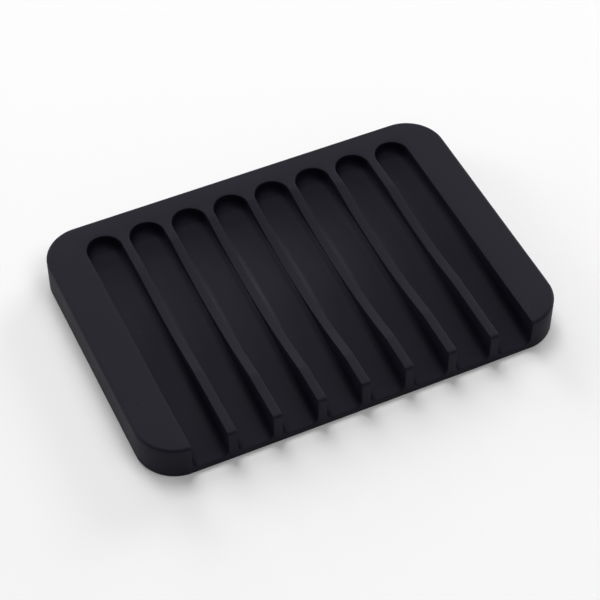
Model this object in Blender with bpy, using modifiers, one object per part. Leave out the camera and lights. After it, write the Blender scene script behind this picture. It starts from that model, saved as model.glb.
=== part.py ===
"""Soap dish: one silicone moulding whose draining slots fall to an open front edge.

Lengths are in metres. X runs across the slots, the slots open towards -Y and Z is up.
The origin is in the middle of the underside.
"""

import math

import bmesh
import bpy
from mathutils import Matrix

# Outer block
WIDTH = 0.1150
DEPTH = 0.0800
HEIGHT = 0.0100
CORNER_RADIUS = 0.0107
RIM_RADIUS = 0.0008

# Draining slots, side by side between two flat rims
SLOT_COUNT = 8
SIDE_RIM = 0.0107
BACK_RIM = 0.0060
RIB_WIDTH = 0.0024
ROOT_RADIUS = 0.0020
EDGE_RADIUS = 0.0002

# Slot floor: level at the closed end, then bent down into a straight ramp
END_DEPTH = 0.0038
FRONT_THICKNESS = 0.0018
LEVEL_LENGTH = 0.0200
BEND_LENGTH = 0.0200

# Shallow oval bowl that the soap rests in, sunk into the ribs
BOWL_SAG = 0.0029
BOWL_TIP_GAP = 0.0008
BOWL_MARGIN = 0.0104

# Facets
CORNER_STEPS = 12
RIM_STEPS = 4
END_STEPS = 18
ROOT_STEPS = 4
EDGE_STEPS = 2
ROW_PITCH = 0.0030

# How far a cutter reaches past the surface that it opens
OVERCUT = 0.0040

# The most of the slots' depth at their closed ends that their rounded root may take
ROOT_SHARE = 0.6

# The most of the lowest rib wall that its rounded edge may take, and the part of it
# over the floor that the bowl leaves as it is
EDGE_SHARE = 0.25
KEPT_SHARE = 0.6

# The most of the block's height over the floor's front that its rounded upper edge may take
RIM_SHARE = 0.5

# How deep below the top, in edge radii, a point still belongs to the rib's rounded edge
EDGE_REACH = 1.5

# Points closer than this are one point, points closer than this to a row are on it,
# and faces that turn less than this are one face
WELD = 0.00001
ROW_SNAP = 0.0001
FLAT_ANGLE = math.radians(0.5)

# Edges sharper than this are rounded, and shaded sharp where they stay
CREASE_ANGLE = math.radians(50.0)
SMOOTH_ANGLE = math.radians(40.0)

# Places that follow from the sizes above
SLOTS_SPAN = WIDTH - 2 * SIDE_RIM
SLOT_WIDTH = (SLOTS_SPAN - (SLOT_COUNT - 1) * RIB_WIDTH) / SLOT_COUNT
SLOT_PITCH = SLOT_WIDTH + RIB_WIDTH
FRONT = -DEPTH / 2
SLOT_END = DEPTH / 2 - BACK_RIM
END_CENTRE = SLOT_END - SLOT_WIDTH / 2
FLOOR_BACK = HEIGHT - END_DEPTH
BOWL_HALF_LENGTH = SLOTS_SPAN / 2 - BOWL_TIP_GAP
BOWL_HALF_WIDTH = DEPTH / 2 - BOWL_MARGIN

BLACK_SILICONE = (0.018, 0.017, 0.021, 1.0)
SILICONE_ROUGHNESS = 0.55


def floor_height(y):
    """Height of the slots' floor: level, then an arc-like bend, then a straight ramp to the front edge."""
    bend_start = SLOT_END - LEVEL_LENGTH
    ramp_start = bend_start - BEND_LENGTH
    slope = (FLOOR_BACK - FRONT_THICKNESS) / (ramp_start - FRONT + BEND_LENGTH / 2)
    if y >= bend_start:
        return FLOOR_BACK
    if y >= ramp_start:
        return FLOOR_BACK - slope * (bend_start - y) ** 2 / (2 * BEND_LENGTH)
    return FLOOR_BACK - slope * (ramp_start - y + BEND_LENGTH / 2)


def bowl_depth(x, y):
    """How far the soap's bowl sinks below the flat rim."""
    spread = (x / BOWL_HALF_LENGTH) ** 2 + (y / BOWL_HALF_WIDTH) ** 2
    return BOWL_SAG * max(0.0, 1.0 - spread)


def clear_scene():
    """Removes every object that the scene starts with."""
    for old in list(bpy.data.objects):
        bpy.data.objects.remove(old, do_unlink=True)


def new_collection(name):
    """Makes a collection under the scene's own."""
    collection = bpy.data.collections.new(name)
    bpy.context.scene.collection.children.link(collection)
    return collection


def silicone():
    """The dull black rubber of the moulding."""
    material = bpy.data.materials.new("black_silicone")
    material.use_nodes = True
    shader = material.node_tree.nodes["Principled BSDF"]
    shader.inputs["Base Color"].default_value = BLACK_SILICONE
    shader.inputs["Roughness"].default_value = SILICONE_ROUGHNESS
    shader.inputs["Metallic"].default_value = 0.0
    return material


def arc(centre, radius, start, end, steps):
    """Points along an arc, both ends included, with the angles in degrees."""
    points = []
    for step in range(steps + 1):
        angle = math.radians(start + (end - start) * step / steps)
        points.append((centre[0] + radius * math.cos(angle), centre[1] + radius * math.sin(angle)))
    return points


def evaluated_mesh(source):
    """The mesh of an object with its modifiers or its curve settings carried out."""
    depsgraph = bpy.context.evaluated_depsgraph_get()
    return bpy.data.meshes.new_from_object(source.evaluated_get(depsgraph))


def prism(name, outline, bottom, top, collection):
    """A flat outline raised from one height to another, as a closed mesh."""
    curve = bpy.data.curves.new(name, "CURVE")
    curve.dimensions = "2D"
    curve.fill_mode = "BOTH"
    curve.extrude = (top - bottom) / 2
    spline = curve.splines.new("POLY")
    spline.points.add(len(outline) - 1)
    for point, (x, y) in zip(spline.points, outline):
        point.co = (x, y, 0.0, 1.0)
    spline.use_cyclic_u = True
    drawn = bpy.data.objects.new(name + "_outline", curve)
    collection.objects.link(drawn)
    mesh = evaluated_mesh(drawn)
    bpy.data.objects.remove(drawn, do_unlink=True)
    mesh.transform(Matrix.Translation((0.0, 0.0, (top + bottom) / 2)))
    shell = bmesh.new()
    shell.from_mesh(mesh)
    bmesh.ops.remove_doubles(shell, verts=shell.verts, dist=WELD)
    bmesh.ops.dissolve_limit(shell, angle_limit=FLAT_ANGLE, verts=shell.verts, edges=shell.edges)
    bmesh.ops.recalc_face_normals(shell, faces=shell.faces)
    shell.to_mesh(mesh)
    shell.free()
    solid = bpy.data.objects.new(name, mesh)
    collection.objects.link(solid)
    return solid


def cut_rows(solid):
    """Divides a solid across the slots, from the centres of their round ends to the front edge."""
    y = END_CENTRE
    while y > FRONT + ROW_PITCH / 4:
        everything = solid.verts[:] + solid.edges[:] + solid.faces[:]
        bmesh.ops.bisect_plane(solid, geom=everything, dist=ROW_SNAP, plane_co=(0, y, 0), plane_no=(0, 1, 0))
        y -= ROW_PITCH


def least_wall():
    """Height of the ribs over the floor in the middle of the bowl, where they are lowest."""
    return HEIGHT - BOWL_SAG - floor_height(0.0)


def bowl_share(y, z):
    """Share of the bowl's depth that a point sinks by: all of it at the top, none low in the slots."""
    low = floor_height(y) + KEPT_SHARE * least_wall()
    high = HEIGHT - EDGE_REACH * EDGE_RADIUS
    return min(1.0, max(0.0, (z - low) / (high - low)))


def slot_cutter(cutters):
    """The slots: a tongue with a round end and rounded root, its underside bent to the floor, and repeated."""
    half = SLOT_WIDTH / 2
    outline = arc((0.0, END_CENTRE), half, 0, 180, END_STEPS)
    outline.append((-half, FRONT - OVERCUT))
    outline.append((half, FRONT - OVERCUT))
    tongue = prism("slot_cutter", outline, FLOOR_BACK, HEIGHT + OVERCUT, cutters)
    root_radius = min(ROOT_RADIUS, ROOT_SHARE * END_DEPTH)
    shaped = bmesh.new()
    shaped.from_mesh(tongue.data)
    root = [edge for edge in shaped.edges if max(vertex.co.z for vertex in edge.verts) < FLOOR_BACK + WELD]
    bmesh.ops.bevel(shaped, geom=root, offset=root_radius, segments=ROOT_STEPS, profile=0.5, affect="EDGES")
    cut_rows(shaped)
    for vertex in shaped.verts:
        if vertex.co.z < FLOOR_BACK + root_radius + WELD:
            vertex.co.z += floor_height(vertex.co.y) - FLOOR_BACK
    shaped.to_mesh(tongue.data)
    shaped.free()
    tongue.location.x = -SLOT_PITCH * (SLOT_COUNT - 1) / 2
    repeat = tongue.modifiers.new("side_by_side", "ARRAY")
    repeat.count = SLOT_COUNT
    repeat.use_relative_offset = False
    repeat.use_constant_offset = True
    repeat.constant_offset_displace = (SLOT_PITCH, 0.0, 0.0)
    tongue.display_type = "WIRE"
    tongue.hide_render = True
    return tongue


def block(parts):
    """The outer block: a slab with round corners and a rounded upper edge."""
    x = WIDTH / 2 - CORNER_RADIUS
    y = DEPTH / 2 - CORNER_RADIUS
    outline = []
    outline += arc((x, y), CORNER_RADIUS, 0, 90, CORNER_STEPS)
    outline += arc((-x, y), CORNER_RADIUS, 90, 180, CORNER_STEPS)
    outline += arc((-x, -y), CORNER_RADIUS, 180, 270, CORNER_STEPS)
    outline += arc((x, -y), CORNER_RADIUS, 270, 360, CORNER_STEPS)
    slab = prism("dish_body", outline, 0.0, HEIGHT, parts)
    shaped = bmesh.new()
    shaped.from_mesh(slab.data)
    upper = [edge for edge in shaped.edges if min(vertex.co.z for vertex in edge.verts) > HEIGHT - WELD]
    radius = min(RIM_RADIUS, RIM_SHARE * (HEIGHT - FRONT_THICKNESS))
    bmesh.ops.bevel(shaped, geom=upper, offset=radius, segments=RIM_STEPS, profile=0.5, affect="EDGES")
    shaped.to_mesh(slab.data)
    shaped.free()
    return slab


def cut_slots(dish, cutter):
    """Opens the slots and takes the sharpness off every crisp edge."""
    slots = dish.modifiers.new("slots", "BOOLEAN")
    slots.operation = "DIFFERENCE"
    slots.solver = "EXACT"
    slots.object = cutter
    weld = dish.modifiers.new("weld", "WELD")
    weld.merge_threshold = WELD
    softened = dish.modifiers.new("softened_edges", "BEVEL")
    softened.width = min(EDGE_RADIUS, EDGE_SHARE * least_wall())
    softened.segments = EDGE_STEPS
    softened.limit_method = "ANGLE"
    softened.angle_limit = CREASE_ANGLE
    softened.use_clamp_overlap = False
    dish.data = evaluated_mesh(dish)
    dish.modifiers.clear()


def sink_bowl(dish):
    """Sinks the bowl into the ribs, so that their rounded edges follow it down and the slots' floors stay."""
    shaped = bmesh.new()
    shaped.from_mesh(dish.data)
    cut_rows(shaped)
    for vertex in shaped.verts:
        x, y, z = vertex.co
        vertex.co.z = z - bowl_share(y, z) * bowl_depth(x, y)
    shaped.to_mesh(dish.data)
    shaped.free()


def main():
    """Builds the dish."""
    clear_scene()
    parts = new_collection("soap_dish")
    cutters = new_collection("cutters")
    dish = block(parts)
    cut_slots(dish, slot_cutter(cutters))
    sink_bowl(dish)
    dish.data.materials.clear()
    dish.data.materials.append(silicone())
    dish.data.shade_smooth()
    dish.data.set_sharp_from_angle(angle=SMOOTH_ANGLE)


main()
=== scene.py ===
"""A silicone soap dish on a pale studio floor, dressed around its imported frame.

The dish is one moulding. Its skin is laid here in fine rows: one slot with its two half ribs, which
a Geometry Nodes tree repeats side by side and sinks to the soap's bowl, and the rim that closes the
block around them. Lengths are in metres, X runs across the slots and the slots open towards -Y.
"""

from __future__ import annotations

import logging
import math
from collections.abc import Iterable, Mapping, Sequence
from dataclasses import dataclass, field, replace
from enum import Enum

import bmesh
import bpy
from mathutils import Euler, Matrix, Vector


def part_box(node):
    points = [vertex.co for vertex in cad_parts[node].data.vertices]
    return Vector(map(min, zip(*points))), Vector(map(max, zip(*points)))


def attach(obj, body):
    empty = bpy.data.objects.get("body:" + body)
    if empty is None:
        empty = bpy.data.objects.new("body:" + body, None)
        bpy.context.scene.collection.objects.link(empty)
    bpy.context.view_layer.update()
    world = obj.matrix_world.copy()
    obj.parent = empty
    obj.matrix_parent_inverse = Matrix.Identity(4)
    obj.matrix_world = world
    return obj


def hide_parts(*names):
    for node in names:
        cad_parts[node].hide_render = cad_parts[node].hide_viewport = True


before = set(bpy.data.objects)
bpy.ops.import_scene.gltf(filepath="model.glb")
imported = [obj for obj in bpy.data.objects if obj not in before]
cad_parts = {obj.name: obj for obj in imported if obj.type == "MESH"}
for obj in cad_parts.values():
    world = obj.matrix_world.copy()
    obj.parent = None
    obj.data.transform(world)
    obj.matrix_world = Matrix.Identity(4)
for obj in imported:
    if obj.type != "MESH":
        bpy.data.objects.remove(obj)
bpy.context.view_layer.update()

LOG = logging.getLogger("soap_dish")

UP = Vector((0.0, 0.0, 1.0))
LEFTWARDS = Vector((-1.0, 0.0, 0.0))
RIGHTWARDS = Vector((1.0, 0.0, 0.0))
FRONTWARDS = Vector((0.0, -1.0, 0.0))
BACKWARDS = Vector((0.0, 1.0, 0.0))
RIGHT_ANGLE = math.pi / 2

# Points closer than this are one point, and an edge shorter than this has no length
WELD = 0.000002
NO_LENGTH = 0.0000001

# Slack for a direction that points exactly at a corner
CORNER_SLACK = 0.000001


# Geometry


def round_off(inwards: float, radius: float) -> float:
    """How far a rounded edge stays below the flat that it rounds.

    Args:
        inwards: Distance from the face that the edge rounds over to.
        radius: Radius of the edge.

    Returns:
        The depth below the flat, which is 0 from a radius inwards.
    """
    missing = min(radius, max(0.0, radius - inwards))
    return radius - math.sqrt(radius**2 - missing**2)


def shares(steps: int) -> list[float]:
    """Even shares from 0 to 1, both included."""
    return [step / steps for step in range(steps + 1)]


def bulge(share: float) -> float:
    """Rises from 0 to 1 in the middle of the way and falls to 0 again."""
    return math.sin(math.pi * share)


@dataclass(frozen=True)
class DishSizes:
    """Sizes of the moulding. The three outer ones come from the frame.

    Attributes:
        width: Length of the block across the slots.
        depth: Length of the block along the slots.
        height: Height of the flat rim over the underside.
        corner_radius: Radius of the block's round corners, seen from above.
        rim_radius: Radius of the block's rounded upper edge.
        slot_count: Count of the draining slots.
        side_rim: Width of the flat rim beside the outer slots.
        back_rim: Width of the flat rim behind the slots' closed ends.
        rib_width: Width of the ribs between the slots.
        root_radius: Radius where a slot's wall runs into its floor.
        root_kept: Height over the floor below which the bowl moves nothing.
        edge_radius: Radius of the crisp edges of ribs, slots and underside.
        end_depth: Depth of the slots at their closed ends.
        front_thickness: Thickness under the floor at the open front edge.
        level_length: Length of the level part of the floor, from the closed end.
        bend_length: Length over which the floor bends down.
        bowl_sag: Depth of the soap's bowl in the middle.
        bowl_tip_gap: Distance from the bowl's tips to the flat rims at the sides.
        bowl_margin: Distance from the bowl to the front and to the back of the block.
    """

    width: float
    depth: float
    height: float
    corner_radius: float = 0.0107
    rim_radius: float = 0.0008
    slot_count: int = 8
    side_rim: float = 0.0107
    back_rim: float = 0.0060
    rib_width: float = 0.0024
    root_radius: float = 0.0020
    root_kept: float = 0.0008
    edge_radius: float = 0.0002
    end_depth: float = 0.0038
    front_thickness: float = 0.0018
    level_length: float = 0.0200
    bend_length: float = 0.0200
    bowl_sag: float = 0.0029
    bowl_tip_gap: float = 0.0008
    bowl_margin: float = 0.0104

    @property
    def pitch(self) -> float:
        """Distance from one slot to the next."""
        return (self.width - 2 * self.side_rim + self.rib_width) / self.slot_count

    @property
    def slot_half(self) -> float:
        """Half of a slot's width, which is also the radius of its closed end."""
        return (self.pitch - self.rib_width) / 2

    @property
    def front(self) -> float:
        """Where the slots open."""
        return -self.depth / 2

    @property
    def end_centre(self) -> float:
        """Centre of the slots' round ends."""
        return self.depth / 2 - self.back_rim - self.slot_half

    @property
    def row_half(self) -> float:
        """Half of the width that the slots and their half ribs take together."""
        return self.pitch * self.slot_count / 2

    @property
    def corner_x(self) -> float:
        """Distance of the round corners' centres from the middle, across the slots."""
        return self.width / 2 - self.corner_radius

    @property
    def corner_y(self) -> float:
        """Distance of the round corners' centres from the middle, along the slots."""
        return self.depth / 2 - self.corner_radius

    @property
    def bowl_half_length(self) -> float:
        """Reach of the soap's bowl across the slots."""
        return self.width / 2 - self.side_rim - self.bowl_tip_gap

    @property
    def bowl_half_width(self) -> float:
        """Reach of the soap's bowl along the slots."""
        return self.depth / 2 - self.bowl_margin

    def floor(self, y: float) -> float:
        """Height of a slot's floor: level, then bent down into a straight ramp.

        Args:
            y: Place along the slot.

        Returns:
            Height above the underside.
        """
        back = self.height - self.end_depth
        bend_start = self.depth / 2 - self.back_rim - self.level_length
        ramp_start = bend_start - self.bend_length
        slope = (back - self.front_thickness) / (ramp_start - self.front + self.bend_length / 2)
        if y >= bend_start:
            return back
        if y >= ramp_start:
            return back - slope * (bend_start - y) ** 2 / (2 * self.bend_length)
        return back - slope * (ramp_start - y + self.bend_length / 2)

    def crown(self, y: float) -> float:
        """Height of the flat top at a place along the slot, with its rounding over to the front face."""
        return self.height - round_off(y - self.front, self.rim_radius)

    def hold(self, place: Vector) -> float:
        """Share of the bowl's depth that a point in a slot sinks by.

        Args:
            place: The point, before the bowl is sunk.

        Returns:
            1 on the top and its rounded edge, 0 on the floor and the lowest part of its root.
        """
        low = self.floor(place.y) + self.root_kept
        high = self.crown(place.y) - self.edge_radius
        return min(1.0, max(0.0, (place.z - low) / (high - low)))

    def front_shift(self, x: float) -> float:
        """How far along y the round corners draw the front back, at a place across the slots."""
        return round_off(self.width / 2 - abs(x), self.corner_radius)


@dataclass(frozen=True)
class Fineness:
    """Counts of the steps that the skin is laid in.

    Attributes:
        rows: Along the straight part of a slot.
        fan: Around a slot's closed end.
        floor: From the middle of a slot's floor to its root.
        root: Over the root.
        wall: Up the wall.
        edge: Over a crisp edge.
        rim: Over the block's rounded upper edge.
        top: From a rib's edge to its middle.
    """

    rows: int = 92
    fan: int = 48
    floor: int = 3
    root: int = 8
    wall: int = 4
    edge: int = 4
    rim: int = 8
    top: int = 1


@dataclass(frozen=True)
class SkinPoint:
    """A point of the skin.

    Attributes:
        place: Where it is before the bowl is sunk.
        hold: Share of the bowl's depth that it sinks by: 1 on the top, 0 on a slot's floor.
        rub: How exposed it is to rubbing: 1 on an outer edge, 0 on a flat. The finish pales the colour by
            it, partly as wear and partly as a painted highlight.
    """

    place: Vector
    hold: float = 1.0
    rub: float = 0.0


@dataclass(frozen=True)
class WallPoint:
    """A point of the section across a slot's wall, from the middle of the floor to the rib's top.

    Attributes:
        across: Distance from the slot's middle.
        lean: Angle of the surface there: 0 faces up, a right angle faces the slot's middle.
        rise: Height above the floor, for the part of it that the floor carries.
        drop: Depth below the top, for the part of it that the top carries.
        top_share: How far the top carries it: 1 at the top, 0 on the floor and its root.
        rub: As in SkinPoint.
    """

    across: float
    lean: float = 0.0
    rise: float = 0.0
    drop: float = 0.0
    top_share: float = 0.0
    rub: float = 0.0


class Skin:
    """A surface that is laid strip by strip and then made a mesh."""

    def __init__(self) -> None:
        """Starts with nothing laid."""
        self.points: list[SkinPoint] = []
        self.faces: list[list[int]] = []

    def add(self, points: Iterable[SkinPoint]) -> list[int]:
        """Adds points to the skin.

        Args:
            points: The points.

        Returns:
            Their numbers.
        """
        first = len(self.points)
        self.points.extend(points)
        return list(range(first, len(self.points)))

    def strips(self, lines: Sequence[Sequence[SkinPoint]]) -> None:
        """Lays quads between neighbouring lines.

        Args:
            lines: The lines, which all have as many points.
        """
        numbers = [self.add(line) for line in lines]
        for one, two in zip(numbers, numbers[1:]):
            for corners in zip(one, one[1:], two[1:], two):
                self.faces.append(list(corners))

    def flat(self, outline: Iterable[SkinPoint]) -> None:
        """Lays one flat face inside an outline."""
        self.faces.append(self.add(outline))

    def mesh(self, name: str) -> bpy.types.Mesh:
        """Makes the mesh.

        Args:
            name: The mesh's name.

        Returns:
            The mesh, with hold and rub as attributes of its points.
        """
        mesh = bpy.data.meshes.new(name)
        mesh.from_pydata([point.place for point in self.points], [], self.faces)
        for trait in ("hold", "rub"):
            attribute = mesh.attributes.new(trait, "FLOAT", "POINT")
            attribute.data.foreach_set("value", [getattr(point, trait) for point in self.points])
        return mesh


def round_over(centre: Vector, radius: float, start: Vector, end: Vector, steps: int) -> list[SkinPoint]:
    """Lays points over a rounded edge.

    Args:
        centre: Centre of the edge's arc.
        radius: Radius of the arc.
        start: Direction from the centre to its first point.
        end: Direction from the centre to its last point, square to the first.
        steps: Count of the steps between them.

    Returns:
        The points, most rubbed in the middle.
    """
    points = []
    for share in shares(steps):
        angle = RIGHT_ANGLE * share
        spoke = start * math.cos(angle) + end * math.sin(angle)
        points.append(SkinPoint(centre + spoke * radius, rub=bulge(share)))
    return points


@dataclass(frozen=True)
class SlotCell:
    """One draining slot with half a rib on either side, around x = 0."""

    sizes: DishSizes
    fineness: Fineness

    def section(self) -> list[WallPoint]:
        """The section across the slot's wall.

        Returns:
            Its points, from the middle of the floor to the rounded edge.
        """
        sizes = self.sizes
        steps = self.fineness
        half = sizes.slot_half
        root = sizes.root_radius
        edge = sizes.edge_radius
        points = []
        for share in shares(steps.floor)[:-1]:
            points.append(WallPoint((half - root) * share))
        for share in shares(steps.root):
            angle = RIGHT_ANGLE * share
            across = half - root + root * math.sin(angle)
            points.append(WallPoint(across, lean=angle, rise=root - root * math.cos(angle)))
        for share in shares(steps.wall)[1:]:
            points.append(WallPoint(half, lean=RIGHT_ANGLE, rise=root, drop=edge, top_share=share))
        for share in shares(steps.edge)[1:]:
            angle = RIGHT_ANGLE * (1 - share)
            across = half + edge - edge * math.sin(angle)
            drop = edge - edge * math.cos(angle)
            points.append(WallPoint(across, lean=angle, drop=drop, top_share=1.0, rub=bulge(share)))
        return points

    def place(self, point: WallPoint, base: Vector, out: Vector) -> Vector:
        """Puts a point of the section at a station along the slot.

        Args:
            point: The point of the section.
            base: The slot's middle at that station, at no height.
            out: Level direction from the slot's middle to the wall.

        Returns:
            Its place, before the bowl is sunk.
        """
        sizes = self.sizes
        inset = round_off(base.y - sizes.front, sizes.edge_radius)
        level = base + out * (point.across + inset * math.sin(point.lean))
        top = sizes.crown(level.y) - point.drop
        bottom = sizes.floor(level.y) + point.rise - inset * math.cos(point.lean)
        return level + UP * (point.top_share * top + (1 - point.top_share) * bottom)

    def border(self, base: Vector, out: Vector) -> Vector:
        """Where a station's line meets the cell's border, on the top."""
        reach = self.sizes.pitch / 2 / max(abs(out.x), abs(out.y))
        return base + out * reach + UP * self.sizes.crown(base.y)

    def station(self, base: Vector, out: Vector) -> list[SkinPoint]:
        """The line across the cell at a station along the slot.

        Args:
            base: The slot's middle there, at no height.
            out: Level direction from the slot's middle to the wall.

        Returns:
            Points from the slot's middle over the wall to the cell's border.
        """
        line = []
        for point in self.section():
            place = self.place(point, base, out)
            line.append(SkinPoint(place, self.sizes.hold(place), point.rub))
        edge = line[-1].place
        border = self.border(base, out)
        line.extend(SkinPoint(edge.lerp(border, share)) for share in shares(self.fineness.top)[1:])
        return line

    def rows(self) -> list[float]:
        """The places of the straight stations, from behind the rounded front edge to the round end."""
        front = self.sizes.front + self.sizes.rim_radius
        return [front + (self.sizes.end_centre - front) * share for share in shares(self.fineness.rows)]

    def front_rows(self) -> list[float]:
        """The places of the stations over the rounded front edge.

        Returns:
            Places along the slot, from the front face inwards.
        """
        sizes = self.sizes
        turns = [RIGHT_ANGLE * share for share in shares(self.fineness.rim)[:0:-1]]
        return [sizes.front + sizes.rim_radius * (1 - math.sin(turn)) for turn in turns]

    def fan(self) -> list[Vector]:
        """The directions of the stations around the closed end.

        Returns:
            Level directions, from left over the back to right.
        """
        directions = []
        for share in shares(self.fineness.fan):
            angle = math.pi * (1 - share)
            directions.append(Vector((math.cos(angle), math.sin(angle), 0.0)))
        return directions

    def front_face(self, skin: Skin, top: list[SkinPoint]) -> None:
        """Closes the front from the slot's section down to the underside.

        Args:
            skin: The surface that is laid.
            top: The section's points on the front face, from left to right.
        """
        sizes = self.sizes
        radius = sizes.edge_radius
        sides = (-sizes.pitch / 2, sizes.pitch / 2)
        low = []
        for share in shares(self.fineness.edge):
            angle = RIGHT_ANGLE * share
            y = sizes.front + radius - radius * math.cos(angle)
            z = radius - radius * math.sin(angle)
            low.append([SkinPoint(Vector((x, y, z)), hold=0.0) for x in sides])
        skin.strips(low)
        skin.flat(top + low[0][::-1])

    def mesh(self) -> bpy.types.Mesh:
        """Lays the whole cell.

        Returns:
            Its mesh.
        """
        skin = Skin()
        halves = []
        for side in (LEFTWARDS, RIGHTWARDS):
            half = [self.station(Vector((0.0, y, 0.0)), side) for y in self.front_rows() + self.rows()]
            skin.strips(half)
            halves.append(half[0])
        centre = Vector((0.0, self.sizes.end_centre, 0.0))
        skin.strips([self.station(centre, out) for out in self.fan()])
        self.front_face(skin, halves[0][::-1] + halves[1][1:])
        return skin.mesh("slot_cell")


@dataclass(frozen=True)
class RimStation:
    """A place where the rim joins the row of slots to the block's outline.

    Attributes:
        inner: The point on the border of the row of slots.
        outline: The point of the outline, seen from above.
        out: The outline's outward direction there.
    """

    inner: Vector
    outline: Vector
    out: Vector


@dataclass(frozen=True)
class Rim:
    """The rim around the row of slots, the outer walls and the underside."""

    cell: SlotCell

    def end_centres(self) -> list[Vector]:
        """Centres of the round ends of the left half's slots.

        Returns:
            The centres, from left to right and at no height.
        """
        sizes = self.cell.sizes
        first = Vector((sizes.pitch / 2 - sizes.row_half, sizes.end_centre, 0.0))
        numbers = range(sizes.slot_count // 2)
        return [Vector((first.x + number * sizes.pitch, first.y, first.z)) for number in numbers]

    def straight_back(self) -> int:
        """The number of the fan's direction that points straight back."""
        return self.cell.fineness.fan // 2

    def side_stations(self) -> list[RimStation]:
        """Stations over the left side.

        Returns:
            Stations from the front edge to the slots' round ends. The first ones lead around the
            front corner, whose arc is shared out among the rows that lie in it.
        """
        sizes = self.cell.sizes
        rows = self.cell.rows()
        corner = Vector((-sizes.corner_x, 0.0, 0.0))
        in_corner = sum(y < -sizes.corner_y for y in rows)
        turn = math.acos((sizes.row_half - sizes.corner_x) / sizes.corner_radius)
        front = Vector((-sizes.row_half, rows[0], 0.0))
        stations = [RimStation(front, front + FRONTWARDS * sizes.rim_radius, FRONTWARDS)]
        for step, y in enumerate(rows[1:], start=1):
            angle = math.pi + turn * max(0.0, 1 - step / in_corner)
            out = Vector((math.cos(angle), math.sin(angle), 0.0))
            outline = corner + out * sizes.corner_radius
            outline.y = y if step >= in_corner else outline.y - sizes.corner_y
            stations.append(RimStation(Vector((-sizes.row_half, y, 0.0)), outline, out))
        return stations

    def corner_stations(self) -> list[RimStation]:
        """Stations around the back left corner.

        Returns:
            Stations from the left side to the back, beside the first slot's round end.
        """
        sizes = self.cell.sizes
        centre = self.end_centres()[0]
        corner = Vector((-sizes.corner_x, sizes.corner_y, 0.0))
        stations = []
        for out in self.cell.fan()[1 : self.straight_back() + 1]:
            outline = corner + out * sizes.corner_radius
            stations.append(RimStation(self.cell.border(centre, out), outline, out))
        return stations

    def back_stations(self) -> list[RimStation]:
        """Stations along the left half of the back.

        Returns:
            Stations from the middle of the first slot to the middle of the dish.
        """
        cell = self.cell
        fan = cell.fan()
        stations = []
        for number, centre in enumerate(self.end_centres()):
            start = self.straight_back() + 1 if number == 0 else 1
            for out in fan[start:]:
                if abs(out.x) < out.y + CORNER_SLACK:
                    inner = cell.border(centre, out)
                    outline = Vector((inner.x, cell.sizes.depth / 2, 0.0))
                    stations.append(RimStation(inner, outline, BACKWARDS))
        return stations

    def stations(self) -> list[RimStation]:
        """All stations from the front over the left side to the middle of the back."""
        return self.side_stations() + self.corner_stations() + self.back_stations()

    def line(self, station: RimStation) -> list[SkinPoint]:
        """The line across the rim at a station.

        Args:
            station: The station.

        Returns:
            Points from the row of slots over the outer wall to the underside.
        """
        sizes = self.cell.sizes
        fineness = self.cell.fineness
        out = station.out
        upper = station.outline - out * sizes.rim_radius + UP * (sizes.height - sizes.rim_radius)
        lower = station.outline - out * sizes.edge_radius + UP * sizes.edge_radius
        line = [SkinPoint(Vector((station.inner.x, station.inner.y, sizes.height)))]
        line += round_over(upper, sizes.rim_radius, UP, out, fineness.rim)
        line += round_over(lower, sizes.edge_radius, out, -UP, fineness.edge)
        return line

    def mesh(self) -> bpy.types.Mesh:
        """Lays the rim, the outer walls and the underside.

        Returns:
            Their mesh.
        """
        skin = Skin()
        left = [self.line(station) for station in self.stations()]
        flip = Matrix.Scale(-1.0, 4, RIGHTWARDS)
        right = [[replace(point, place=flip @ point.place) for point in line] for line in left[::-1]]
        lines = left + right[1:]
        skin.strips(lines)
        sizes = self.cell.sizes
        below = [line[-1] for line in lines]
        y = sizes.front + sizes.edge_radius
        for number in range(1, sizes.slot_count):
            below.append(SkinPoint(Vector((sizes.row_half - number * sizes.pitch, y, 0.0))))
        skin.flat(below)
        return skin.mesh("rim")


# Node trees

# How the keyword of an input given by its number starts
BY_NUMBER = "in_"

# Numbers of a Mix node's sockets for its two colours and for the mixed one
MIX_FIRST = 6
MIX_SECOND = 7
MIX_RESULT = 2


class Colour(Enum):
    """Linear colours of the finishes."""

    SILICONE = (0.0056, 0.0046, 0.0115, 1.0)
    # Paler silicone for the clouds, and for the edges, where it is partly wear and partly a painted
    # highlight
    SILICONE_PALE = (0.0084, 0.0074, 0.0148, 1.0)
    DUST = (0.16, 0.15, 0.15, 1.0)
    CARD = (0.95, 0.95, 0.95, 1.0)
    WHITE = (1.0, 1.0, 1.0, 1.0)


def socket_key(keyword: str) -> int | str:
    """Turns a keyword into an input's number or name: in_0 into 0, Start_Location into Start Location."""
    if keyword.startswith(BY_NUMBER):
        return int(keyword.removeprefix(BY_NUMBER))
    return keyword.replace("_", " ")


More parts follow.
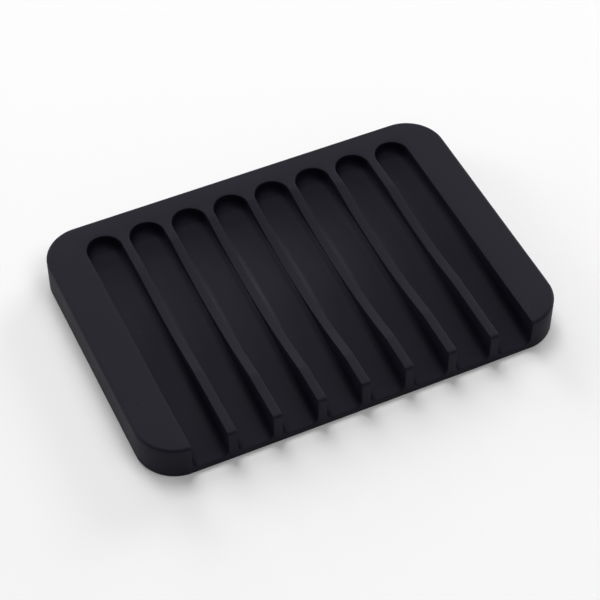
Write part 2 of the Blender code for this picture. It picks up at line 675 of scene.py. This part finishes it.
class NodeTree:
    """A node tree that is built one node at a time."""

    def __init__(self, tree: bpy.types.NodeTree) -> None:
        """Takes the tree to build in."""
        self.tree = tree

    def fill(self, node: bpy.types.Node, inputs: Mapping[int | str, object]) -> None:
        """Links or sets inputs of a node.

        Args:
            node: The node.
            inputs: Its inputs, by number or name. An output socket is linked, and a value or a
                Colour is set.
        """
        for key, value in inputs.items():
            socket = node.inputs[key]
            if isinstance(value, bpy.types.NodeSocket):
                self.tree.links.new(value, socket)
            elif isinstance(value, Colour):
                socket.default_value = value.value
            else:
                socket.default_value = value

    def add(
        self, kind: str, settings: Mapping[str, object] | None = None, **inputs: object
    ) -> bpy.types.Node:
        """Adds a node.

        Args:
            kind: The node's type in Blender.
            settings: Properties of the node.
            inputs: Its inputs, by name with _ for a space, or by number as in_0, with values as
                in fill.

        Returns:
            The node.
        """
        node = self.tree.nodes.new(kind)
        for key, value in (settings or {}).items():
            setattr(node, key, value)
        self.fill(node, {socket_key(key): value for key, value in inputs.items()})
        return node

    def out(self, kind: str, **inputs: object) -> bpy.types.NodeSocket:
        """Adds a node with inputs as in add, and returns its first output."""
        return self.add(kind, **inputs).outputs[0]

    def math(self, operation: str, first: object, second: object = 0.0) -> bpy.types.NodeSocket:
        """Adds a Math node and returns its output."""
        return self.add("ShaderNodeMath", {"operation": operation}, in_0=first, in_1=second).outputs[0]

    def group(self, tree: bpy.types.NodeTree, **inputs: object) -> bpy.types.Node:
        """Adds a shader node group, with its inputs as in add."""
        return self.add("ShaderNodeGroup", {"node_tree": tree}, **inputs)

    def ramp(self, value: object, low: float, high: float) -> bpy.types.NodeSocket:
        """Adds a Map Range node that goes from 0 at low to 1 at high, and returns its output."""
        return self.out("ShaderNodeMapRange", Value=value, From_Min=low, From_Max=high)

    def relief(self, height: object, strength: float, depth: float) -> bpy.types.NodeSocket:
        """Adds a Bump node for a height from 0 to 1, and returns its normal."""
        return self.out("ShaderNodeBump", Strength=strength, Distance=depth, Height=height)

    def mix(self, share: object, first: object, second: object) -> bpy.types.NodeSocket:
        """Mixes two colours.

        Args:
            share: How much of the second colour is taken.
            first: An output socket or a Colour.
            second: An output socket or a Colour.

        Returns:
            The mixed colour's output.
        """
        node = self.add("ShaderNodeMix", {"data_type": "RGBA"}, in_0=share)
        self.fill(node, {MIX_FIRST: first, MIX_SECOND: second})
        return node.outputs[MIX_RESULT]


# Row of slots


class Socket(Enum):
    """Kinds of value that go into the row's tree."""

    OBJECT = "NodeSocketObject"
    MATERIAL = "NodeSocketMaterial"
    COUNT = "NodeSocketInt"
    LENGTH = "NodeSocketFloat"


@dataclass(frozen=True)
class SlotRowTree:
    """The tree that sets the slots side by side, joins them to the rim and sinks the soap's bowl."""

    sizes: DishSizes
    cell: bpy.types.Object
    material: bpy.types.Material

    def values(self) -> list[tuple[str, Socket, object]]:
        """The tree's inputs.

        Returns:
            Name, kind and value of each.
        """
        sizes = self.sizes
        return [
            ("Slot", Socket.OBJECT, self.cell),
            ("Slots", Socket.COUNT, sizes.slot_count),
            ("Pitch", Socket.LENGTH, sizes.pitch),
            ("Weld", Socket.LENGTH, WELD),
            ("Bowl sag", Socket.LENGTH, sizes.bowl_sag),
            ("Bowl half length", Socket.LENGTH, sizes.bowl_half_length),
            ("Bowl half width", Socket.LENGTH, sizes.bowl_half_width),
            ("Finish", Socket.MATERIAL, self.material),
        ]

    def closed_row(self, nodes: NodeTree, given: bpy.types.NodeOutputs) -> bpy.types.NodeSocket:
        """Sets the slots side by side and welds them to the rim.

        Args:
            nodes: The tree that is built.
            given: Its inputs.

        Returns:
            The whole skin, before the bowl is sunk.
        """
        span = nodes.math("MULTIPLY", nodes.math("SUBTRACT", given["Slots"], 1.0), given["Pitch"])
        start = nodes.out("ShaderNodeCombineXYZ", X=nodes.math("MULTIPLY", span, -0.5))
        step = nodes.out("ShaderNodeCombineXYZ", X=given["Pitch"])
        places = nodes.out("GeometryNodeMeshLine", Count=given["Slots"], Start_Location=start, Offset=step)
        slot = nodes.add("GeometryNodeObjectInfo", Object=given["Slot"]).outputs["Geometry"]
        row = nodes.out("GeometryNodeInstanceOnPoints", Points=places, Instance=slot)
        joined = nodes.add("GeometryNodeJoinGeometry")
        for part in (row, given["Geometry"]):
            nodes.tree.links.new(part, joined.inputs[0])
        real = nodes.out("GeometryNodeRealizeInstances", Geometry=joined.outputs[0])
        return nodes.out("GeometryNodeMergeByDistance", Geometry=real, Distance=given["Weld"])

    def bowl(self, nodes: NodeTree, given: bpy.types.NodeOutputs) -> bpy.types.NodeSocket:
        """Works out the soap's bowl, which is deepest in the middle and ends on an oval.

        Args:
            nodes: The tree that is built.
            given: Its inputs.

        Returns:
            How each point moves.
        """
        position = nodes.out("GeometryNodeInputPosition")
        where = nodes.add("ShaderNodeSeparateXYZ", Vector=position).outputs
        along = nodes.math("DIVIDE", where["X"], given["Bowl half length"])
        across = nodes.math("DIVIDE", where["Y"], given["Bowl half width"])
        along_squared = nodes.math("MULTIPLY", along, along)
        across_squared = nodes.math("MULTIPLY", across, across)
        spread = nodes.math("ADD", along_squared, across_squared)
        share = nodes.math("MAXIMUM", nodes.math("SUBTRACT", 1.0, spread), 0.0)
        hold = nodes.out("GeometryNodeInputNamedAttribute", Name="hold")
        depth = nodes.math("MULTIPLY", nodes.math("MULTIPLY", share, given["Bowl sag"]), hold)
        return nodes.out("ShaderNodeCombineXYZ", Z=nodes.math("MULTIPLY", depth, -1.0))

    def build(self) -> bpy.types.NodeTree:
        """Builds the tree.

        Returns:
            The tree.
        """
        tree = bpy.data.node_groups.new("slot_row", "GeometryNodeTree")
        for way in ("INPUT", "OUTPUT"):
            tree.interface.new_socket("Geometry", in_out=way, socket_type="NodeSocketGeometry")
        for name, kind, _ in self.values():
            tree.interface.new_socket(name, in_out="INPUT", socket_type=kind.value)
        nodes = NodeTree(tree)
        given = nodes.add("NodeGroupInput").outputs
        closed = self.closed_row(nodes, given)
        sunk = nodes.out("GeometryNodeSetPosition", Geometry=closed, Offset=self.bowl(nodes, given))
        dressed = nodes.out("GeometryNodeSetMaterial", Geometry=sunk, Material=given["Finish"])
        nodes.add("NodeGroupOutput", Geometry=dressed)
        return tree

    def apply(self, piece: bpy.types.Object) -> bpy.types.Mesh:
        """Runs the tree on a piece.

        Args:
            piece: The piece, which is left as it was.

        Returns:
            The result as a plain mesh.
        """
        modifier = piece.modifiers.new("slot_row", "NODES")
        modifier.node_group = self.build()
        sockets = {item.name: item.identifier for item in modifier.node_group.interface.items_tree}
        for name, _, value in self.values():
            modifier[sockets[name]] = value
        evaluated = piece.evaluated_get(bpy.context.evaluated_depsgraph_get())
        baked = bpy.data.meshes.new_from_object(evaluated)
        piece.modifiers.remove(modifier)
        return baked


# Finishes


def new_material(name: str) -> bpy.types.Material:
    """Makes a material with a Principled BSDF in it.

    Args:
        name: Its name.

    Returns:
        The material.
    """
    material = bpy.data.materials.new(name)
    material.use_nodes = True
    return material


@dataclass(frozen=True)
class GrainGroup:
    """The group that both finishes share: fine grain, wide soft clouds and sparse specks.

    Attributes:
        name: The group's name.
        fine_detail: Octaves of the fine part of the grain.
        coarse_detail: Octaves of its coarse part.
        coarse_scale: Scale of the coarse part, as a share of the fine part's.
        coarse_weight: Height of the coarse part, as a share of the fine part's.
        cloud_detail: Octaves of the clouds.
        cloud_roughness: Weight of each octave of the clouds against the one before.
        cloud_low: Noise below which there is no cloud.
        cloud_high: Noise above which a cloud is full.
        speck_rim: Distance from a speck's middle at which it ends, in cells.
        speck_core: Distance within which it is full.
    """

    name: str = "grain"
    fine_detail: float = 3.0
    coarse_detail: float = 2.0
    coarse_scale: float = 0.27
    coarse_weight: float = 0.6
    cloud_detail: float = 4.0
    cloud_roughness: float = 0.55
    cloud_low: float = 0.36
    cloud_high: float = 0.64
    speck_rim: float = 0.16
    speck_core: float = 0.08

    def tree(self) -> bpy.types.NodeTree:
        """Builds the group, or finds it when it is built already.

        Returns:
            The group. Its outputs are Height, Cloud and Speck, all from 0 to 1.
        """
        if self.name in bpy.data.node_groups:
            return bpy.data.node_groups[self.name]
        tree = bpy.data.node_groups.new(self.name, "ShaderNodeTree")
        tree.interface.new_socket("Place", in_out="INPUT", socket_type="NodeSocketVector")
        for name in ("Grain scale", "Cloud scale", "Speck scale", "Speck share"):
            tree.interface.new_socket(name, in_out="INPUT", socket_type="NodeSocketFloat")
        for name in ("Height", "Cloud", "Speck"):
            tree.interface.new_socket(name, in_out="OUTPUT", socket_type="NodeSocketFloat")
        nodes = NodeTree(tree)
        given = nodes.add("NodeGroupInput").outputs
        height = self.height(nodes, given)
        cloud = self.cloud(nodes, given)
        speck = self.speck(nodes, given)
        nodes.add("NodeGroupOutput", Height=height, Cloud=cloud, Speck=speck)
        return tree

    def height(self, nodes: NodeTree, given: bpy.types.NodeOutputs) -> bpy.types.NodeSocket:
        """Lays the grain.

        Args:
            nodes: The tree that is built.
            given: Its inputs.

        Returns:
            The grain's height.
        """
        place = given["Place"]
        scale = given["Grain scale"]
        wider = nodes.math("MULTIPLY", scale, self.coarse_scale)
        fine = nodes.out("ShaderNodeTexNoise", Vector=place, Scale=scale, Detail=self.fine_detail)
        coarse = nodes.out("ShaderNodeTexNoise", Vector=place, Scale=wider, Detail=self.coarse_detail)
        both = nodes.math("ADD", fine, nodes.math("MULTIPLY", coarse, self.coarse_weight))
        return nodes.math("DIVIDE", both, 1 + self.coarse_weight)

    def cloud(self, nodes: NodeTree, given: bpy.types.NodeOutputs) -> bpy.types.NodeSocket:
        """Lays the clouds.

        Args:
            nodes: The tree that is built.
            given: Its inputs.

        Returns:
            How full the cloud is.
        """
        noise = nodes.out(
            "ShaderNodeTexNoise",
            Vector=given["Place"],
            Scale=given["Cloud scale"],
            Detail=self.cloud_detail,
            Roughness=self.cloud_roughness,
        )
        return nodes.ramp(noise, self.cloud_low, self.cloud_high)

    def speck(self, nodes: NodeTree, given: bpy.types.NodeOutputs) -> bpy.types.NodeSocket:
        """Lays the specks, each in a cell picked by its colour.

        Args:
            nodes: The tree that is built.
            given: Its inputs.

        Returns:
            How full the speck is.
        """
        cells = nodes.add("ShaderNodeTexVoronoi", Vector=given["Place"], Scale=given["Speck scale"])
        chance = nodes.out("ShaderNodeSeparateColor", Color=cells.outputs["Color"])
        picked = nodes.math("LESS_THAN", chance, given["Speck share"])
        near = nodes.ramp(cells.outputs["Distance"], self.speck_rim, self.speck_core)
        return nodes.math("MULTIPLY", picked, near)


@dataclass(frozen=True)
class SiliconeFinish:
    """Black silicone from a finely blasted mould: dull, faintly cloudy, a little polished on its edges,
    and paler there, partly as wear and partly as a painted highlight.

    Attributes:
        roughness: Roughness of the bare rubber.
        specular: Level of its reflection.
        ior: Its index of refraction.
        grain_scale: Scale of the grain.
        cloud_scale: Scale of the clouds.
        speck_scale: Scale of the cells that may hold a speck of dust.
        speck_share: Share of the cells that hold one.
        cloud_turn: How much rougher it is in a full cloud than where there is none.
        cloud_paleness: How far a full cloud takes the colour to the pale one.
        rub_least: How much of the rubbing shows where there is no cloud.
        rub_and_highlight_paleness: How far rubbing takes the colour to the pale one on the edges, which is
            partly wear and partly a painted highlight.
        rub_polish: How much rubbing takes off the roughness.
        dust: How far a full speck takes the colour to the dust's.
        grain_strength: Strength of the grain's relief.
        grain_height: Height of the grain's relief.
    """

    roughness: float = 0.65
    specular: float = 0.20
    ior: float = 1.41
    grain_scale: float = 5200.0
    cloud_scale: float = 70.0
    speck_scale: float = 900.0
    speck_share: float = 0.012
    cloud_turn: float = 0.06
    cloud_paleness: float = 0.5
    rub_least: float = 0.4
    rub_and_highlight_paleness: float = 0.25
    rub_polish: float = 0.04
    dust: float = 0.25
    grain_strength: float = 0.3
    grain_height: float = 0.00002

    def material(self) -> bpy.types.Material:
        """Makes the material.

        Returns:
            The material.
        """
        material = new_material("moulded_silicone")
        nodes = NodeTree(material.node_tree)
        grain = nodes.group(
            GrainGroup().tree(),
            Place=nodes.add("ShaderNodeTexCoord").outputs["Object"],
            Grain_scale=self.grain_scale,
            Cloud_scale=self.cloud_scale,
            Speck_scale=self.speck_scale,
            Speck_share=self.speck_share,
        ).outputs
        wear_and_highlight = self.wear_and_highlight(nodes, grain["Cloud"])
        settings = {
            "IOR": self.ior,
            "Specular IOR Level": self.specular,
            "Base Color": self.colour(nodes, grain, wear_and_highlight),
            "Roughness": self.dullness(nodes, grain["Cloud"], wear_and_highlight),
            "Normal": nodes.relief(grain["Height"], self.grain_strength, self.grain_height),
        }
        nodes.fill(material.node_tree.nodes["Principled BSDF"], settings)
        return material

    def wear_and_highlight(self, nodes: NodeTree, cloud: bpy.types.NodeSocket) -> bpy.types.NodeSocket:
        """Works out where rubbing shows, which is also where the colour paints a highlight on the edges.

        Args:
            nodes: The material's tree.
            cloud: How full the cloud is.

        Returns:
            How much it shows, in patches along the edges.
        """
        rub = nodes.add("ShaderNodeAttribute", {"attribute_name": "rub"}).outputs["Fac"]
        clouded = nodes.math("MULTIPLY", cloud, 1 - self.rub_least)
        return nodes.math("MULTIPLY", rub, nodes.math("ADD", clouded, self.rub_least))

    def colour(
        self, nodes: NodeTree, grain: bpy.types.NodeOutputs, wear_and_highlight: bpy.types.NodeSocket
    ) -> bpy.types.NodeSocket:
        """Mixes the rubber's colour.

        Args:
            nodes: The material's tree.
            grain: The outputs of the grain group.
            wear_and_highlight: How much rubbing shows, which also sets the painted highlight on the edges.

        Returns:
            The colour, a little paler in clouds, paler on the rubbed edges as wear and as a painted
            highlight, with the dust on it.
        """
        clouded = nodes.math("MULTIPLY", grain["Cloud"], self.cloud_paleness)
        # The edges are made paler: partly wear, partly a painted highlight
        paleness = nodes.math("ADD", clouded, nodes.math("MULTIPLY", wear_and_highlight, self.rub_and_highlight_paleness))
        body = nodes.mix(paleness, Colour.SILICONE, Colour.SILICONE_PALE)
        return nodes.mix(nodes.math("MULTIPLY", grain["Speck"], self.dust), body, Colour.DUST)

    def dullness(
        self, nodes: NodeTree, cloud: bpy.types.NodeSocket, wear_and_highlight: bpy.types.NodeSocket
    ) -> bpy.types.NodeSocket:
        """Works out the roughness.

        Args:
            nodes: The material's tree.
            cloud: How full the cloud is.
            wear_and_highlight: How much rubbing shows.

        Returns:
            The roughness, which the clouds turn up and down around its level and rubbing lowers.
        """
        turn = nodes.math("MULTIPLY", nodes.math("SUBTRACT", cloud, 0.5), self.cloud_turn)
        dull = nodes.math("ADD", turn, self.roughness)
        return nodes.math("SUBTRACT", dull, nodes.math("MULTIPLY", wear_and_highlight, self.rub_polish))


@dataclass(frozen=True)
class FloorFinish:
    """Matte white studio card.

    Attributes:
        roughness: Its roughness.
        specular: Level of its reflection.
        grain_scale: Scale of its grain.
        cloud_scale: Scale of the grain group's clouds, whose output the card does not use.
        grain_strength: Strength of the grain's relief.
        grain_height: Height of the grain's relief.
    """

    roughness: float = 0.9
    specular: float = 0.0
    grain_scale: float = 1500.0
    cloud_scale: float = 6.0
    grain_strength: float = 0.2
    grain_height: float = 0.00005

    def material(self) -> bpy.types.Material:
        """Makes the material.

        Returns:
            The material.
        """
        material = new_material("floor_card")
        nodes = NodeTree(material.node_tree)
        grain = nodes.group(
            GrainGroup().tree(),
            Place=nodes.add("ShaderNodeTexCoord").outputs["Object"],
            Grain_scale=self.grain_scale,
            Cloud_scale=self.cloud_scale,
        ).outputs
        settings = {
            "Base Color": Colour.CARD,
            "Roughness": self.roughness,
            "Specular IOR Level": self.specular,
            "Normal": nodes.relief(grain["Height"], self.grain_strength, self.grain_height),
        }
        nodes.fill(material.node_tree.nodes["Principled BSDF"], settings)
        return material


# Pieces


@dataclass
class Dish:
    """The moulded dish."""

    sizes: DishSizes
    fineness: Fineness = field(default_factory=Fineness)
    finish: SiliconeFinish = field(default_factory=SiliconeFinish)

    def build(self) -> bpy.types.Object:
        """Builds the dish in place of the frame's node.

        Returns:
            The piece.
        """
        cell = SlotCell(self.sizes, self.fineness)
        slot = bpy.data.objects.new("slot_cell", cell.mesh())
        dish = bpy.data.objects.new("moulded_dish", Rim(cell).mesh())
        material = self.finish.material()
        for piece in (slot, dish):
            piece.data.materials.append(material)
            bpy.context.scene.collection.objects.link(piece)
        dish.data = SlotRowTree(self.sizes, slot, material).apply(dish)
        bpy.data.objects.remove(slot, do_unlink=True)
        self.close(dish.data)
        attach(dish, "root")
        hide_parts("dish_body")
        return dish

    def close(self, mesh: bpy.types.Mesh) -> None:
        """Draws the ends of the row back to the round corners, and turns every face outwards.

        Args:
            mesh: The dish's mesh.
        """
        sizes = self.sizes
        side = sizes.row_half + WELD
        front = sizes.front + sizes.rim_radius + WELD
        skin = bmesh.new()
        skin.from_mesh(mesh)
        for vertex in skin.verts:
            if abs(vertex.co.x) < side and vertex.co.y < front:
                vertex.co.y += sizes.front_shift(vertex.co.x)
        bmesh.ops.dissolve_degenerate(skin, edges=skin.edges, dist=NO_LENGTH)
        bmesh.ops.recalc_face_normals(skin, faces=skin.faces)
        open_edges = sum(not edge.is_manifold for edge in skin.edges)
        LOG.info("dish: %d points, %d faces, %d open edges", len(skin.verts), len(skin.faces), open_edges)
        skin.to_mesh(mesh)
        skin.free()
        mesh.shade_smooth()


@dataclass(frozen=True)
class Softbox:
    """A square softbox on a stand.

    Attributes:
        name: Its name.
        azimuth: Where it stands, in degrees from straight behind the dish, positive to the right.
        elevation: How high it stands over the dish, in degrees.
        power: Its power in watts.
        distance: Its distance from the dish.
        size: Its side.
    """

    name: str
    azimuth: float
    elevation: float
    power: float
    distance: float = 3.0
    size: float = 1.5

    @property
    def place(self) -> Vector:
        """Where its middle is.

        Returns:
            The place, with the dish at the origin.
        """
        azimuth = math.radians(self.azimuth)
        elevation = math.radians(self.elevation)
        level = Vector((math.sin(azimuth), math.cos(azimuth), 0.0)) * math.cos(elevation)
        return (level + UP * math.sin(elevation)) * self.distance


SOFTBOXES = (
    Softbox("left_softbox", -50.0, 15.0, 25.5),
    Softbox("back_softbox", 0.0, 15.0, 33.0),
    Softbox("top_softbox", 5.0, 65.0, 37.0),
    Softbox("front_softbox", 140.0, 60.0, 21.0),
    Softbox("right_softbox", 60.0, 15.0, 48.5),
)


@dataclass(frozen=True)
class Studio:
    """The floor, the lights and the camera.

    Attributes:
        target: The point that the camera looks at.
        distance: The camera's distance from there.
        azimuth: Where the camera stands, in degrees from straight in front, positive to the right.
        elevation: How high it stands over the dish, in degrees.
        roll: How far it is turned about its line of sight, in degrees.
        lens: Its focal length in millimetres.
        floor_size: Side of the floor.
        floor_drop: How far the floor lies under the dish.
        world_strength: Strength of the even light from all around, where 1 is white.
    """

    target: tuple[float, float, float] = (-0.00142, -0.00417, 0.0050)
    distance: float = 0.5047
    azimuth: float = -25.32
    elevation: float = 48.69
    roll: float = 0.29
    lens: float = 117.2
    floor_size: float = 6.0
    floor_drop: float = 0.00005
    world_strength: float = 0.18

    def floor(self) -> bpy.types.Object:
        """Lays the floor just under the dish.

        Returns:
            The floor.
        """
        mesh = bpy.data.meshes.new("studio_floor")
        shape = bmesh.new()
        bmesh.ops.create_grid(shape, x_segments=1, y_segments=1, size=self.floor_size / 2)
        shape.to_mesh(mesh)
        shape.free()
        mesh.transform(Matrix.Translation((0.0, 0.0, -self.floor_drop)))
        floor = bpy.data.objects.new("studio_floor", mesh)
        floor.data.materials.append(FloorFinish().material())
        bpy.context.scene.collection.objects.link(floor)
        return floor

    def hang(self, box: Softbox) -> None:
        """Hangs a softbox that faces the dish, out of the camera's sight.

        Args:
            box: The softbox.
        """
        light = bpy.data.lights.new(box.name, "AREA")
        light.shape = "SQUARE"
        light.size = box.size
        light.energy = box.power
        lamp = bpy.data.objects.new(box.name, light)
        lamp.location = box.place
        lamp.rotation_euler = (-box.place).to_track_quat("-Z", "Y").to_euler()
        lamp.visible_camera = False
        bpy.context.scene.collection.objects.link(lamp)

    def world(self) -> None:
        """Fills the studio with even light."""
        world = bpy.data.worlds.new("studio")
        world.use_nodes = True
        bpy.context.scene.world = world
        background = world.node_tree.nodes["Background"]
        settings = {"Color": Colour.WHITE, "Strength": self.world_strength}
        NodeTree(world.node_tree).fill(background, settings)

    def camera(self) -> None:
        """Puts the camera where the photograph was taken from."""
        azimuth = math.radians(self.azimuth)
        elevation = math.radians(self.elevation)
        level = math.cos(elevation)
        back = Vector((math.sin(azimuth) * level, -math.cos(azimuth) * level, math.sin(elevation)))
        roll = Euler((0.0, 0.0, math.radians(self.roll))).to_quaternion()
        data = bpy.data.cameras.new("camera")
        data.lens = self.lens
        camera = bpy.data.objects.new("camera", data)
        camera.location = Vector(self.target) + back * self.distance
        camera.rotation_euler = ((-back).to_track_quat("-Z", "Y") @ roll).to_euler()
        bpy.context.scene.collection.objects.link(camera)
        bpy.context.scene.camera = camera

    def build(self) -> None:
        """Sets the studio up."""
        bpy.context.scene.view_settings.view_transform = "Standard"
        self.floor()
        for box in SOFTBOXES:
            self.hang(box)
        self.world()
        self.camera()


def main() -> None:
    """Builds the dish to the frame's box, and its studio."""
    logging.basicConfig(level=logging.INFO, format="%(name)s: %(message)s")
    low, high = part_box("dish_body")
    size = high - low
    dish = Dish(DishSizes(width=size.x, depth=size.y, height=size.z)).build()
    LOG.info("%s stands for dish_body", dish.name)
    Studio().build()


if __name__ == "__main__":
    main()
